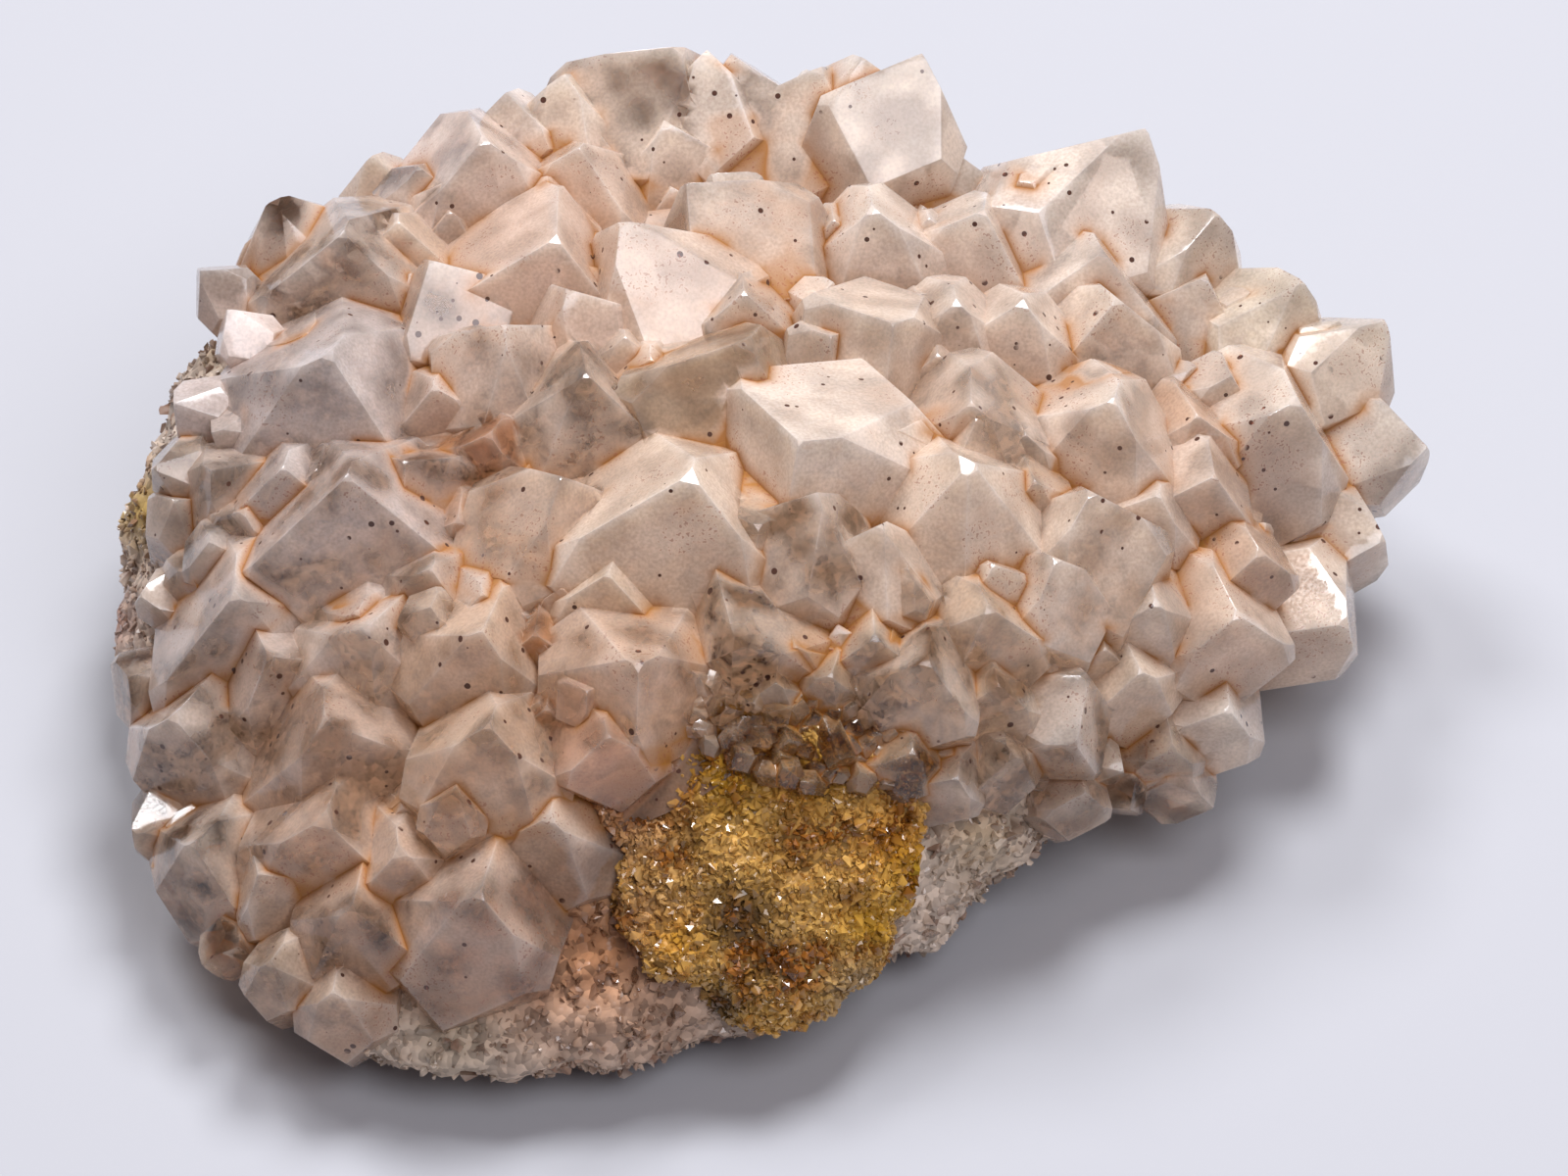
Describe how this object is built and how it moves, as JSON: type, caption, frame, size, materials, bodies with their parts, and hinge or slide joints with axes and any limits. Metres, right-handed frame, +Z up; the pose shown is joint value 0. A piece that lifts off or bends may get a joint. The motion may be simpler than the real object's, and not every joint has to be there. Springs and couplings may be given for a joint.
{
  "type": "quartz crystal cluster",
  "caption": "Druse of short, milky quartz crystals with iron stain, grown on a loose, flat-bottomed piece of granular rock with a patch of yellow limonite.",
  "frame": {"origin": "middle of the specimen's box in X and Y, at the height of the flat spot that it rests on", "axes": "+Z up from the resting face, +X along the specimen's length to the viewer's right, +Y to the back, away from the limonite patch"},
  "size_m": [0.0696, 0.058, 0.0268],
  "materials": {
    "matrix": "matte",
    "quartz": "satin",
    "limonite": "matte"
  },
  "bodies": {
    "root": {"matrix": "matrix", "quartz_crust": "quartz", "limonite_patch": "limonite"}
  },
  "joints": []
}
